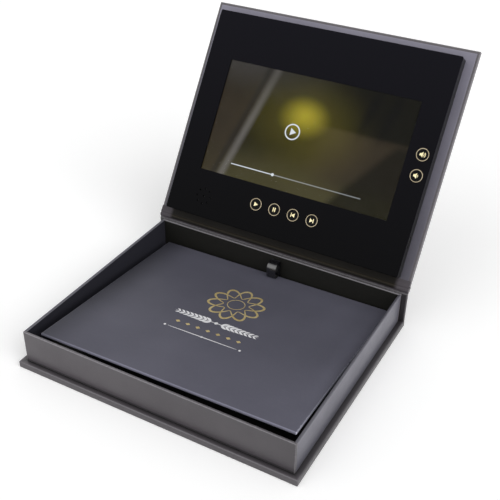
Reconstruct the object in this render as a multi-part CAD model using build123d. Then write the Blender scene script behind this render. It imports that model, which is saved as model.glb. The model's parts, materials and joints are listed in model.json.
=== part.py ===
from build123d import *
import os

# LCD video brochure box, millimetres. Origin: centre of the base board's underside.
# +X to the right, +Y to the hinge side, +Z up. Stored with the lid standing open.

# --- case and tray (rigid greyboard, paper wrapped) ---
tray_width = 205.0
tray_depth = 169.0
tray_wall = 1.8
tray_wall_height = 24.5
base_thickness = 5.0
base_overhang = 4.0
spine_thickness = 2.2
spine_gap = 0.8
lid_thickness = 3.5
board_edge_round = 0.5
rim_edge_round = 0.4
lining_thickness = 0.3
lining_below_rim = 0.6
floor_lining_thickness = 0.4

# --- lid hinge: a paper fold along the top of the spine ---
lid_open_angle = 123.3
lid_rest_gap = 0.3
hinge_behind_spine = 0.2
hinge_above_lid_underside = 1.7
hinge_to_lid_edge = 2.7
hinge_bead_radius = 1.9
hinge_web_thickness = 0.7
hinge_web_offset = 0.7
lid_liner_thickness = 0.4
lid_liner_margin = 2.0

# --- closure and switch magnets, let into the boards behind the linings ---
closure_magnet_spacing = 120.0
closure_magnet_length = 20.0
closure_magnet_width = 5.0
closure_magnet_thickness = 1.0
lid_magnet_width = 4.0
switch_magnet_length = 10.0
switch_magnet_x = 60.0
magnet_below_rim = 1.6
magnet_clearance = 0.1

# --- video module: the black block on the inside of the lid ---
module_depth = 10.0
module_side_clearance = 2.4
module_end_clearance = 1.7
module_wall = 2.0
module_corner_round = 1.0
back_plate_thickness = 1.0
front_panel_thickness = 1.5
front_panel_edge = 0.3
fit_gap = 0.15

# --- display, a 7 inch panel centred in the module ---
screen_width = 154.2
face_shift = 0.8
screen_height = 85.9
window_border = 1.0
display_side_bezel = 5.35
display_end_bezel = 7.05
display_glass_thickness = 1.4
display_behind_panel = 0.1
backlight_thickness = 2.8
display_pad_size = 14.0

# --- push buttons: four in a row under the screen, two beside it ---
button_diameter = 10.0
button_travel = 0.4
button_proud = 0.2
button_flange = 0.4
button_flange_thickness = 0.6
button_stem_radius = 1.2
button_row_pitch = 15.7
button_row_height = 21.6
volume_button_pitch = 15.5
button_wall_clearance = 0.3

# --- electronics behind the front panel ---
board_standoff = 1.6
board_thickness = 1.2
board_speaker_gap = 3.7
board_edge_margin = 4.0
board_low = 10.0
board_high = 30.0
volume_board_width = 10.0
volume_board_clearance = 0.7
volume_board_height = 38.0
switch_size = 6.0
switch_body_height = 2.5
switch_plunger_radius = 1.0
switch_plunger_height = 0.6
post_radius = 2.0
chip_sizes = ((12.0, 12.0, 1.2), (10.0, 8.0, 1.0), (6.0, 5.0, 0.9))
chip_positions = ((-42.0, 19.0), (50.0, 16.0), (66.0, 19.0))
battery_width = 90.0
battery_height = 60.0
battery_thickness = 2.9
battery_centre_height = 92.0
speaker_radius = 12.0
speaker_edge_margin = 18.3
speaker_height = 16.3
speaker_thickness = 6.0
speaker_hole_radius = 0.7
speaker_hole_circle = 6.0
speaker_hole_count = 8
port_width = 7.5
port_height = 2.6
port_length = 5.5
port_wall = 0.3
port_centre_height = 26.2
port_recess = 0.4
port_tongue_thickness = 0.7
reed_length = 12.0
reed_radius = 1.0
reed_x = 62.0
reed_height = 12.0
wire_radius = 0.5
wire_pitch = 2.0
display_cable_width = 30.0
display_cable_lap = 6.0
display_cable_foot = 4.0

# --- lift-out folder: bottom sheet, back strip and springy top panel on a crease ---
folder_side_clearance = 5.7
folder_side_shift = 2.4
folder_back_clearance = 2.6
folder_skew = 1.0
folder_sheet_thickness = 0.7
folder_sheet_front_gap = 12.3
folder_floor_gap = 0.1
folder_strip_thickness = 0.8
folder_strip_height = 5.1
folder_crease_gap = 0.3
panel_front_gap = 3.4
panel_thickness = 1.8
panel_edge_round = 0.5
panel_back_inset = 0.5
panel_tilt = 5.9

# --- pull ribbon, glued to the folder's back strip ---
ribbon_width = 10.0
ribbon_thickness = 0.35
ribbon_top_below_rim = 3.0
ribbon_wall_gap = 0.3
ribbon_side_shift = 1.3
ribbon_bend_height = 2.6

# --- levels and lines that follow from the sizes above ---
rim = base_thickness + tray_wall_height
inner_x = tray_width / 2 - tray_wall
inner_y = tray_depth / 2 - tray_wall
lined_x = inner_x - lining_thickness
lined_y = inner_y - lining_thickness
case_x = tray_width / 2 + base_overhang
case_front = -tray_depth / 2 - base_overhang
spine_front = tray_depth / 2 + spine_gap
spine_back = spine_front + spine_thickness
lid_underside = rim + lid_rest_gap
hinge_y = spine_back + hinge_behind_spine
hinge_z = lid_underside + hinge_above_lid_underside
closure_magnet_y = -tray_depth / 2 + tray_wall / 2
module_back_y = lined_y - module_end_clearance
module_width = 2 * (lined_x - module_side_clearance)
module_height = module_back_y + lined_y - module_end_clearance
module_middle = module_height / 2
panel_back = module_depth - front_panel_thickness
display_width = screen_width + 2 * display_side_bezel
display_height = screen_height + 2 * display_end_bezel
display_front = panel_back - display_behind_panel
backlight_front = display_front - display_glass_thickness
backlight_back = backlight_front - backlight_thickness
button_radius = button_diameter / 2
flange_radius = button_radius + button_flange
volume_button_x = module_width / 2 - module_wall - button_wall_clearance - flange_radius
volume_board_x = module_width / 2 - module_wall - volume_board_clearance - volume_board_width / 2
speaker_x = speaker_edge_margin + speaker_radius - module_width / 2
board_left = speaker_x + speaker_radius + board_speaker_gap
board_right = module_width / 2 - board_edge_margin
board_back = back_plate_thickness + board_standoff
board_front = board_back + board_thickness
switch_top = board_front + switch_body_height + switch_plunger_height
folder_half_width = lined_x - folder_side_clearance
folder_back = lined_y - folder_back_clearance
folder_sheet_front = folder_sheet_front_gap - lined_y
folder_sheet_bottom = base_thickness + floor_lining_thickness + folder_floor_gap
folder_strip_bottom = folder_sheet_bottom + folder_sheet_thickness
crease_z = folder_strip_bottom + folder_strip_height + folder_crease_gap


def box(x0, x1, y0, y1, z0, z1):
    """A box between two limits on each axis."""
    size = (x1 - x0, y1 - y0, z1 - z0)
    return Pos((x0 + x1) / 2, (y0 + y1) / 2, (z0 + z1) / 2) * Box(*size)


def rod(x, y, z0, z1, radius):
    """A cylinder along Z between two heights."""
    return Pos(x, y, (z0 + z1) / 2) * Cylinder(radius, z1 - z0)


def cross_rod(x0, x1, y, z, radius):
    """A cylinder along X between two ends."""
    return Pos((x0 + x1) / 2, y, z) * Rot(0, 90, 0) * Cylinder(radius, x1 - x0)


def rounded(solid, radius):
    """The solid with every edge rounded, as paper wrapped over board."""
    return fillet(solid.edges(), radius)


def turned_about(y, z, degrees):
    """A turn about the X-parallel line through (y, z)."""
    return Pos(0, y, z) * Rot(degrees, 0, 0) * Pos(0, -y, -z)


# The lid and its module are drawn flat, as seen from inside the box: X to the right,
# Y from the hinge towards the free edge, Z out of the lid's inner face.
lid_closed = Pos(0, module_back_y, lid_underside) * Rot(180, 0, 0)
lid_frame = turned_about(hinge_y, hinge_z, -lid_open_angle) * lid_closed

# The folder lies slightly skewed and to the right in the tray, and its top panel tilts about
# the crease.
folder_frame = Pos(folder_side_shift, 0, 0) * Rot(0, 0, folder_skew)
panel_frame = folder_frame * turned_about(folder_back, crease_z, -panel_tilt)


def base_board():
    board = box(-case_x, case_x, case_front, spine_back, 0, base_thickness)
    return rounded(board, board_edge_round)


def spine_board():
    board = box(-case_x, case_x, spine_front, spine_back, base_thickness, rim)
    return rounded(board, board_edge_round)


def hinge_fold():
    """The rolled paper fold that the lid turns on, with the web that joins it to the spine."""
    bead = cross_rod(-case_x, case_x, hinge_y, hinge_z, hinge_bead_radius)
    web_back = hinge_y - hinge_web_offset
    web = box(-case_x, case_x, web_back - hinge_web_thickness, web_back, rim, hinge_z)
    return bead + web


def wall_magnet(x, inward, length, grow):
    """A magnet let into the inner face of the front (inward 1) or back (-1) wall."""
    face = -inward * inner_y
    back = face - inward * (closure_magnet_thickness + grow)
    top = rim - magnet_below_rim + grow
    bottom = rim - magnet_below_rim - closure_magnet_width - grow
    half = length / 2 + grow
    return box(x - half, x + half, min(face, back), max(face, back), bottom, top)


def end_wall(inward, magnets):
    """The front or back wall, the full width of the tray, with its magnet pockets."""
    outer = -inward * tray_depth / 2
    inner = -inward * inner_y
    low, high = min(outer, inner), max(outer, inner)
    wall = box(-tray_width / 2, tray_width / 2, low, high, base_thickness, rim)
    upright = wall.edges().filter_by(Axis.Z).group_by(Axis.Y)[0 if inward > 0 else -1]
    wall = fillet(upright, board_edge_round)
    wall = fillet(wall.edges().group_by(Axis.Z)[-1], rim_edge_round)
    for x, length in magnets:
        wall -= wall_magnet(x, inward, length, magnet_clearance)
    return wall


def side_wall(side):
    """The left (-1) or right (1) wall, between the end walls."""
    low, high = sorted((side * tray_width / 2, side * inner_x))
    wall = box(low, high, -inner_y, inner_y, base_thickness, rim)
    long_edges = wall.edges().filter_by(Axis.Y).group_by(Axis.Z)[-1]
    return fillet(long_edges, rim_edge_round)


def closure_magnet_xs():
    return (-closure_magnet_spacing / 2, closure_magnet_spacing / 2)


def tray_magnets():
    return [wall_magnet(x, 1, closure_magnet_length, 0) for x in closure_magnet_xs()]


def tray_lining():
    """Black paper round the inside of the four walls."""
    top = rim - lining_below_rim
    outer = box(-inner_x, inner_x, -inner_y, inner_y, base_thickness, top)
    return outer - box(-lined_x, lined_x, -lined_y, lined_y, base_thickness, top)


def tray_floor_lining():
    top = base_thickness + floor_lining_thickness
    return box(-lined_x, lined_x, -lined_y, lined_y, base_thickness, top)


def folder_base_sheet():
    half = folder_half_width
    low, high = folder_sheet_bottom, folder_strip_bottom
    return box(-half, half, folder_sheet_front, folder_back, low, high)


def folder_back_strip():
    half = folder_half_width
    front = folder_back - folder_strip_thickness
    top = folder_strip_bottom + folder_strip_height
    return box(-half, half, front, folder_back, folder_strip_bottom, top)


def lift_out_panel():
    """The top board of the folder, drawn flat on its crease."""
    half = folder_half_width
    top = crease_z + panel_thickness
    back = folder_back - panel_back_inset
    board = box(-half, half, panel_front_gap - lined_y, back, crease_z, top)
    return rounded(board, panel_edge_round)


def pull_ribbon():
    """A ribbon up the back of the folder, stepped back to run close to the tray's wall."""
    wall_face = lined_y - ribbon_wall_gap
    panel_top = crease_z + panel_thickness
    shoulder = panel_top + ribbon_bend_height
    near, far = folder_back, wall_face - ribbon_thickness
    top = rim - ribbon_top_below_rim
    front_line = [(near, folder_strip_bottom), (near, panel_top), (far, shoulder), (far, top)]
    back_line = [(y + ribbon_thickness, z) for y, z in reversed(front_line)]
    outline = make_face(Plane.YZ * Polyline(*front_line, *back_line, close=True))
    return Pos(ribbon_side_shift, 0, 0) * extrude(outline, ribbon_width / 2, both=True)


def lid_magnet(x, grow):
    """A magnet let into the lid board from its inner side, over the front wall's magnet."""
    middle = module_back_y - closure_magnet_y
    half_x = closure_magnet_length / 2 + grow
    half_y = lid_magnet_width / 2 + grow
    top = -lid_liner_thickness
    bottom = top - closure_magnet_thickness - grow
    return box(x - half_x, x + half_x, middle - half_y, middle + half_y, bottom, top)


def lid_outline():
    """Low and high limits of the lid board along the lid."""
    low = module_back_y - (hinge_y - hinge_to_lid_edge)
    high = module_back_y - case_front
    return low, high


def lid_board():
    low, high = lid_outline()
    board = box(-case_x, case_x, low, high, -lid_thickness, -lid_liner_thickness)
    board = rounded(board, board_edge_round)
    for x in closure_magnet_xs():
        board -= lid_magnet(x, magnet_clearance)
    return board


def lid_liner():
    low, high = lid_outline()
    x = case_x - lid_liner_margin
    low, high = low + lid_liner_margin, high - lid_liner_margin
    return box(-x, x, low, high, -lid_liner_thickness, 0)


def module_back_plate():
    half = module_width / 2
    plate = box(-half, half, 0, module_height, 0, back_plate_thickness)
    return fillet(plate.edges().filter_by(Axis.Z), module_corner_round)


def port_opening():
    """The slot in the module's right wall that a charging plug goes through."""
    half_v = port_width / 2 + 2 * fit_gap
    bottom = board_front - 2 * fit_gap
    top = board_front + port_height + 2 * fit_gap
    inner, outer = module_width / 2 - 2 * module_wall, module_width / 2 + module_wall
    middle = port_centre_height
    return box(inner, outer, middle - half_v, middle + half_v, bottom, top)


def module_frame():
    half = module_width / 2
    bottom, top = back_plate_thickness, panel_back
    frame = box(-half, half, 0, module_height, bottom, top)
    frame = fillet(frame.edges().filter_by(Axis.Z), module_corner_round)
    wall = module_wall
    frame -= box(wall - half, half - wall, wall, module_height - wall, bottom, top)
    return frame - port_opening()


def button_places():
    """Name and centre of each push button on the module's face."""
    places = {}
    row = ("play_button", "pause_button", "previous_button", "next_button")
    for i, name in enumerate(row):
        x = face_shift + (i - (len(row) - 1) / 2) * button_row_pitch
        places[name] = (x, button_row_height)
    places["volume_down_button"] = (volume_button_x, module_middle - volume_button_pitch / 2)
    places["volume_up_button"] = (volume_button_x, module_middle + volume_button_pitch / 2)
    return places


def window_box(grow, bottom, top):
    half_x = screen_width / 2 + grow
    half_y = screen_height / 2 + grow
    left, right = face_shift - half_x, face_shift + half_x
    return box(left, right, module_middle - half_y, module_middle + half_y, bottom, top)


def speaker_holes():
    """Sound holes in a ring over the speaker, with one at its centre."""
    ring = PolarLocations(speaker_hole_circle, speaker_hole_count)
    spots = [Location((0, 0, 0))] + list(ring)
    middle = (panel_back + module_depth) / 2
    drill = Cylinder(speaker_hole_radius, 2 * front_panel_thickness)
    return [Pos(speaker_x, speaker_height, middle) * spot * drill for spot in spots]


def front_panel():
    half = module_width / 2
    panel = box(-half, half, 0, module_height, panel_back, module_depth)
    panel = fillet(panel.edges().filter_by(Axis.Z), module_corner_round)
    panel = chamfer(panel.edges().group_by(Axis.Z)[-1], front_panel_edge)
    panel -= window_box(window_border, panel_back, module_depth)
    for x, y in button_places().values():
        panel -= rod(x, y, panel_back, module_depth, button_radius + fit_gap)
    for hole in speaker_holes():
        panel -= hole
    return panel


def screen_lens():
    return window_box(window_border - fit_gap, panel_back, module_depth)


def display_slab(bottom, top):
    half_x, half_y = display_width / 2, display_height / 2
    left, right = face_shift - half_x, face_shift + half_x
    return box(left, right, module_middle - half_y, module_middle + half_y, bottom, top)


def display_pads():
    """Four foam pads that hold the display off the back plate."""
    half_x, half_y = display_width / 2, display_height / 2
    half_pad = display_pad_size / 2
    pads = []
    for side in (-1, 1):
        for end in (-1, 1):
            x = face_shift + side * (half_x - half_pad)
            y = module_middle + end * (half_y - half_pad)
            left, right, low, high = x - half_pad, x + half_pad, y - half_pad, y + half_pad
            pads.append(box(left, right, low, high, back_plate_thickness, backlight_back))
    return pads


def circuit_board():
    return box(board_left, board_right, board_low, board_high, board_back, board_front)


def volume_board():
    half_x, half_y = volume_board_width / 2, volume_board_height / 2
    left, right = volume_board_x - half_x, volume_board_x + half_x
    return box(left, right, module_middle - half_y, module_middle + half_y, board_back, board_front)


def board_posts():
    """Plastic posts under the two circuit boards."""
    inset = 2 * post_radius
    places = [(x, y) for x in (board_left + inset, board_right - inset)
              for y in (board_low + inset, board_high - inset)]
    reach = volume_board_height / 2 - inset
    places += [(volume_board_x, module_middle + end * reach) for end in (-1, 1)]
    return [rod(x, y, back_plate_thickness, board_back, post_radius) for x, y in places]


def button_switches():
    """A tact switch under each button: square body and round plunger."""
    switches = []
    for x, y in button_places().values():
        half = switch_size / 2
        body_top = board_front + switch_body_height
        body = box(x - half, x + half, y - half, y + half, board_front, body_top)
        switches.append(body + rod(x, y, body_top, switch_top, switch_plunger_radius))
    return switches


def circuit_chips():
    chips = []
    for (width, height, thickness), (x, y) in zip(chip_sizes, chip_positions):
        low, high = y - height / 2, y + height / 2
        top = board_front + thickness
        chips.append(box(x - width / 2, x + width / 2, low, high, board_front, top))
    return chips


def push_button(x, y):
    """A round cap with a flange behind the front panel and a stem over its switch."""
    flange_top = panel_back - fit_gap
    flange_bottom = flange_top - button_flange_thickness
    stem_bottom = switch_top + button_travel + fit_gap
    cap = rod(x, y, flange_top, module_depth + button_proud, button_radius)
    cap = fillet(cap.edges().group_by(Axis.Z)[-1], button_proud / 2)
    cap += rod(x, y, flange_bottom, flange_top, flange_radius)
    cap += rod(x, y, stem_bottom, flange_bottom, button_stem_radius)
    return cap


def battery():
    half_x, half_y = battery_width / 2, battery_height / 2
    top = back_plate_thickness + battery_thickness
    low, high = battery_centre_height - half_y, battery_centre_height + half_y
    return box(-half_x, half_x, low, high, back_plate_thickness, top)


def speaker():
    """Magnet pot, basket and cone rim of a thin round speaker, against the front panel."""
    basket_bottom = panel_back - speaker_thickness / 2
    basket = rod(speaker_x, speaker_height, basket_bottom, panel_back, speaker_radius)
    pot_bottom = panel_back - speaker_thickness
    return basket + rod(speaker_x, speaker_height, pot_bottom, basket_bottom, speaker_radius / 2)


def usb_port():
    """A micro socket: a thin metal shell with a tongue inside, open at the module's side."""
    outer = module_width / 2 - port_recess
    inner = outer - port_length
    low, high = port_centre_height - port_width / 2, port_centre_height + port_width / 2
    top = board_front + port_height
    wall = port_wall
    shell = box(inner, outer, low, high, board_front, top)
    cavity = box(inner + wall, outer, low + wall, high - wall, board_front + wall, top - wall)
    middle = (board_front + top) / 2
    tongue_low, tongue_high = low + 3 * wall, high - 3 * wall
    half = port_tongue_thickness / 2
    tongue_end = outer - 3 * wall
    tongue = box(inner + wall, tongue_end, tongue_low, tongue_high, middle - half, middle + half)
    return shell - cavity + tongue


def reed_switch():
    """The magnet switch that starts the film when the lid opens."""
    axis_z = board_front + reed_radius
    return cross_rod(reed_x - reed_length / 2, reed_x + reed_length / 2, reed_height, axis_z,
                     reed_radius)


def battery_lead():
    """Two wires straight from the battery to the edge of the circuit board."""
    middle = (board_back + board_front) / 2
    start = battery_centre_height - battery_height / 2
    wires = []
    for side in (-0.5, 0.5):
        centre = Pos(side * wire_pitch, (board_high + start) / 2, middle)
        wires.append(centre * Rot(90, 0, 0) * Cylinder(wire_radius, start - board_high))
    return wires


def speaker_lead():
    """Two wires from the speaker's rim to the edge of the circuit board."""
    level = panel_back - speaker_thickness / 4
    drop = board_front + wire_radius
    wires = []
    for side in (-0.5, 0.5):
        y = speaker_height + side * wire_pitch
        start = speaker_x + speaker_radius
        landing = board_left + 2 * wire_radius
        path = FilletPolyline((start, y, level), (landing, y, level), (landing, y, drop - wire_radius),
                              radius=2 * wire_radius)
        wires.append(sweep(Plane(path @ 0, z_dir=path % 0) * Circle(wire_radius), path))
    return wires


def display_cable():
    """The flat cable between the display's back and the circuit board's face."""
    half = display_cable_width / 2
    low = board_high - display_cable_foot
    high = module_middle - display_height / 2 + display_cable_lap
    return box(-half, half, low, high, board_front, backlight_back)


def on_lid(shape):
    return lid_frame * shape


def node_shapes():
    """Every node of the model, placed at rest: one solid, or a list of alike solids."""
    back_magnet = [(switch_magnet_x, switch_magnet_length)]
    front_magnets = [(x, closure_magnet_length) for x in closure_magnet_xs()]
    nodes = {
        "base_board": base_board(),
        "spine_board": spine_board(),
        "hinge_fold": hinge_fold(),
        "tray_front_wall": end_wall(1, front_magnets),
        "tray_back_wall": end_wall(-1, back_magnet),
        "tray_left_wall": side_wall(-1),
        "tray_right_wall": side_wall(1),
        "tray_lining": tray_lining(),
        "tray_floor_lining": tray_floor_lining(),
        "tray_magnets": tray_magnets(),
        "switch_magnet": wall_magnet(switch_magnet_x, -1, switch_magnet_length, 0),
        "folder_base_sheet": folder_frame * folder_base_sheet(),
        "folder_back_strip": folder_frame * folder_back_strip(),
        "pull_ribbon": folder_frame * pull_ribbon(),
        "lift_out_panel": panel_frame * lift_out_panel(),
    }
    lid_parts = {
        "lid_board": lid_board(),
        "lid_liner": lid_liner(),
        "lid_magnets": [lid_magnet(x, 0) for x in closure_magnet_xs()],
        "module_back_plate": module_back_plate(),
        "module_frame": module_frame(),
        "front_panel": front_panel(),
        "screen_lens": screen_lens(),
        "display_panel": display_slab(backlight_front, display_front),
        "display_backlight": display_slab(backlight_back, backlight_front),
        "display_pads": display_pads(),
        "display_cable": display_cable(),
        "circuit_board": circuit_board(),
        "volume_board": volume_board(),
        "board_posts": board_posts(),
        "circuit_chips": circuit_chips(),
        "button_switches": button_switches(),
        "battery": battery(),
        "battery_lead": battery_lead(),
        "speaker": speaker(),
        "speaker_lead": speaker_lead(),
        "usb_port": usb_port(),
        "reed_switch": reed_switch(),
    }
    for name, (x, y) in button_places().items():
        lid_parts[name] = push_button(x, y)
    for name, shape in lid_parts.items():
        pieces = shape if isinstance(shape, list) else [shape]
        placed = [on_lid(piece) for piece in pieces]
        nodes[name] = placed if len(placed) > 1 else placed[0]
    return nodes


def main():
    os.makedirs("parts", exist_ok=True)
    for name, shape in node_shapes().items():
        if isinstance(shape, list):
            shape = Compound(children=shape)
        export_step(shape, f"parts/{name}.step")
    print("hinge line y, z:", round(hinge_y, 3), round(hinge_z, 3))
    print("crease line y, z:", round(folder_back, 3), round(crease_z, 3))
    print("module width, height:", module_width, module_height)


main()
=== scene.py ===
import json
import math
import bmesh
import bpy
import numpy as np
from mathutils import Matrix, Vector


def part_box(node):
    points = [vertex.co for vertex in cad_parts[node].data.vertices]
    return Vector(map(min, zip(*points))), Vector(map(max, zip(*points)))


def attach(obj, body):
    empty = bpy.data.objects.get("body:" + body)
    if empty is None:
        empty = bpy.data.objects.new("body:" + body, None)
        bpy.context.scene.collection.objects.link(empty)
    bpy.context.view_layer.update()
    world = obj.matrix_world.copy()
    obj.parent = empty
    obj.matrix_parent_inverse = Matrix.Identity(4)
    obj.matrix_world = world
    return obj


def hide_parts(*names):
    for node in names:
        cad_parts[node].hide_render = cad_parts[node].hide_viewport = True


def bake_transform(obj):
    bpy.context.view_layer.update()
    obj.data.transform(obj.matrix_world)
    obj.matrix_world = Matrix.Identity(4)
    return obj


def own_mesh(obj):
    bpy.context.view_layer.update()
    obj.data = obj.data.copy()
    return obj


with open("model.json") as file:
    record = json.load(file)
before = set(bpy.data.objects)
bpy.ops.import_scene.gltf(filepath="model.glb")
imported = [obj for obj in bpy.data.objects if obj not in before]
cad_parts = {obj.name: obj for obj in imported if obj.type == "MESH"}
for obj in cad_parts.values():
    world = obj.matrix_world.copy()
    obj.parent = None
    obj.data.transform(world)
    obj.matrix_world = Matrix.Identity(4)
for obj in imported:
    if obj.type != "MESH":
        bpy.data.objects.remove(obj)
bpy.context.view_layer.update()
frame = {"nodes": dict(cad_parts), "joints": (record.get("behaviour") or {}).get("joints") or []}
nodes = frame["nodes"]
joints = {joint["name"]: joint for joint in frame["joints"]}
mm = 0.001
print("video brochure: frame loaded,", len(nodes), "parts")


# camera first, so that everything is judged in its view

cameraView = {
    "aim": (0.0238, 0.0, 0.0893),   # the point in the middle of the view, in metres
    "distance": 0.5602,
    "azimuth": 28.59,               # degrees round to the right of the front
    "elevation": 33.58,
    "roll": 0.98,
    "lens": 62.53, "sensor": 36.0,  # mm
    "nearest": 0.01,
}


def makeCamera(spec):
    data = bpy.data.cameras.new("studioCamera")
    data.lens = spec["lens"]
    data.sensor_width = spec["sensor"]
    data.clip_start = spec["nearest"]
    cam = bpy.data.objects.new("studioCamera", data)
    bpy.context.scene.collection.objects.link(cam)
    az, el, roll = (math.radians(spec[key]) for key in ("azimuth", "elevation", "roll"))
    back = Vector((math.sin(az) * math.cos(el), -math.cos(az) * math.cos(el), math.sin(el)))
    turn = back.to_track_quat("Z", "Y").to_matrix() @ Matrix.Rotation(roll, 3, "Z")
    place = Vector(spec["aim"]) + back * spec["distance"]
    cam.matrix_world = Matrix.Translation(place) @ turn.to_4x4()
    bpy.context.scene.camera = cam


makeCamera(cameraView)


# places on the leaning lid and on the tilted panel

def lidPlace():
    # origin on the hinge line; axes run across the lid, up it from the hinge, and out of its inner face
    hinge = joints["lid_hinge"]
    opened = math.radians(-hinge["range_deg"][0])
    across = (1.0, 0.0, 0.0)
    up = (0.0, -math.cos(opened), math.sin(opened))
    out = (0.0, -math.sin(opened), -math.cos(opened))
    return np.array(hinge["pos_m"]), np.array((across, up, out))


def panelPlace():
    # origin on the crease; axes run along the crease, down the panel to its front edge, and out of its top
    crease = joints["panel_tilt"]
    across = -np.array(crease["axis"])
    tops = [face for face in nodes["lift_out_panel"].data.polygons if face.normal.z > 0.9]
    out = np.array(max(tops, key=lambda face: face.area).normal)
    return np.array(crease["pos_m"]), np.array((across, np.cross(across, out), out))


def toWorld(place, points):
    origin, axes = place
    return origin + np.asarray(points, float) @ axes


def boxIn(place, name):
    # lowest and highest corners of a part, measured along the axes of a place
    origin, axes = place
    mesh = nodes[name].data
    co = np.empty(len(mesh.vertices) * 3)
    mesh.vertices.foreach_get("co", co)
    local = (co.reshape(-1, 3) - origin) @ axes.T
    return local.min(0), local.max(0)


world = (np.zeros(3), np.eye(3))
lid = lidPlace()
panel = panelPlace()
places = {"lid_board": lid, "lid_liner": lid, "lift_out_panel": panel}   # the other parts lie straight


# surfaces

def shellFrom(loops, closed=False):
    # a skin of quads through closed loops of points; the last loop joins the first, or both ends fold shut
    rows, cols = loops.shape[:2]
    r, c = np.meshgrid(np.arange(rows - (not closed)), np.arange(cols), indexing="ij")
    r2, c2 = (r + 1) % rows, (c + 1) % cols
    corners = (r * cols + c, r * cols + c2, r2 * cols + c2, r2 * cols + c)
    faces = np.stack(corners, -1).reshape(-1, 4)
    if not closed:
        faces = np.concatenate((faces, foldedEnd(cols, 0), foldedEnd(cols, (rows - 1) * cols)))
    return loops.reshape(-1, 3), faces


def foldedEnd(count, first):
    # quads that close the end of a flat loop, each pairing point i with point count - 1 - i
    i = np.arange(count // 2 - 1)
    return np.stack((first + i, first + i + 1, first + count - 2 - i, first + count - 1 - i), -1)


def joined(parts):
    # several skins as one set of points and faces
    points, faces = zip(*parts)
    starts = np.cumsum([0] + [len(skin) for skin in points[:-1]])
    return np.concatenate(points), np.concatenate([quads + start for quads, start in zip(faces, starts)])


def makePiece(name, shape, material, second=None, secondFrom=0, sharpAngle=35):
    points, faces = shape
    mesh = bpy.data.meshes.new(name)
    mesh.from_pydata(points.tolist(), [], faces.tolist())
    bm = bmesh.new()
    bm.from_mesh(mesh)
    bmesh.ops.recalc_face_normals(bm, faces=bm.faces)
    bm.to_mesh(mesh)
    bm.free()
    mesh.polygons.foreach_set("use_smooth", np.ones(len(mesh.polygons), bool))
    mesh.set_sharp_from_angle(angle=math.radians(sharpAngle))
    mesh.materials.append(material)
    if second:
        mesh.materials.append(second)
        mesh.polygons.foreach_set("material_index", np.arange(len(faces)) >= secondFrom)
    piece = bpy.data.objects.new(name, mesh)
    bpy.context.scene.collection.objects.link(piece)
    return piece


def markPoints(piece, name, values):
    # a number kept with each point, for a material to read
    attribute = piece.data.attributes.new(name, "FLOAT", "POINT")
    attribute.data.foreach_set("value", np.asarray(values, np.float32).ravel())


def smoothPath(points, count):
    # a curve through the points: each span is a cubic whose end slopes follow the points either side
    p = np.asarray(points, float)
    p = np.concatenate((2 * p[:1] - p[1:2], p, 2 * p[-1:] - p[-2:-1]))
    t = np.linspace(0, len(p) - 3, count)
    i = np.minimum(t.astype(int), len(p) - 4)
    t = (t - i)[:, None]
    a, b, c, d = p[i], p[i + 1], p[i + 2], p[i + 3]
    return 0.5 * (2 * b + (c - a) * t + (2 * a - 5 * b + 4 * c - d) * t**2 + (3 * b - a - 3 * c + d) * t**3)


def bandLoops(path, thickness, stations):
    # a bent sheet: the path moved half a thickness to either side makes a loop, carried along X
    along = np.gradient(path, axis=0)
    along /= np.linalg.norm(along, axis=1)[:, None]
    side = np.stack((along[:, 1], -along[:, 0]), -1) * thickness / 2
    loop = np.concatenate((path + side, (path - side)[::-1]))
    x = np.broadcast_to(stations[:, None], (len(stations), len(loop)))
    yz = np.broadcast_to(loop, (len(stations), len(loop), 2))
    return np.concatenate((x[..., None], yz), -1)


# node tools

def grey(r, g=None, b=None):
    return (r, r if g is None else g, r if b is None else b, 1.0)


def addNode(tree, kind, inputs=None, **settings):
    node = tree.nodes.new(kind)
    for key, value in settings.items():
        setattr(node, key, value)
    for key, value in (inputs or {}).items():
        socket = node.inputs[key]
        if isinstance(value, bpy.types.NodeSocket):
            tree.links.new(value, socket)
        else:
            socket.default_value = value
    return node


def mathNode(tree, operation, *values, clamp=False):
    settings = {"operation": operation, "use_clamp": clamp}
    return addNode(tree, "ShaderNodeMath", dict(enumerate(values)), **settings).outputs[0]


def times(tree, first, second):
    return mathNode(tree, "MULTIPLY", first, second)


def plus(tree, first, second):
    return mathNode(tree, "ADD", first, second)


def minus(tree, first, second):
    return mathNode(tree, "SUBTRACT", first, second)


def over(tree, first, second):
    return mathNode(tree, "DIVIDE", first, second)


def larger(tree, first, second):
    return mathNode(tree, "MAXIMUM", first, second)


def unsigned(tree, value):
    return mathNode(tree, "ABSOLUTE", value)


def hypotenuse(tree, dx, dy):
    return mathNode(tree, "SQRT", plus(tree, times(tree, dx, dx), times(tree, dy, dy)))


def mixColour(tree, amount, first, second, blend="MIX"):
    values = {0: amount, 6: first, 7: second}
    return addNode(tree, "ShaderNodeMix", values, data_type="RGBA", blend_type=blend).outputs[2]


def spread(tree, value, low, high, toLow=0.0, toHigh=1.0, shape="SMOOTHSTEP"):
    values = {0: value, 1: low, 2: high, 3: toLow, 4: toHigh}
    return addNode(tree, "ShaderNodeMapRange", values, interpolation_type=shape).outputs[0]


def objectPlace(tree):
    return addNode(tree, "ShaderNodeTexCoord").outputs["Object"]


def axesOf(tree, where):
    return addNode(tree, "ShaderNodeSeparateXYZ", {0: where}).outputs


def pulled(tree, where, x, y):
    # a place squeezed along X and Y, which draws a noise out that way
    return addNode(tree, "ShaderNodeMapping", {"Vector": where, "Scale": (x, y, 1.0)}).outputs[0]


def localPlace(tree, where, centre, turn):
    # a place seen from a box's centre, along its own axes
    values = {"Vector": where, "Location": centre, "Rotation": turn}
    return addNode(tree, "ShaderNodeMapping", values, vector_type="TEXTURE").outputs[0]


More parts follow.
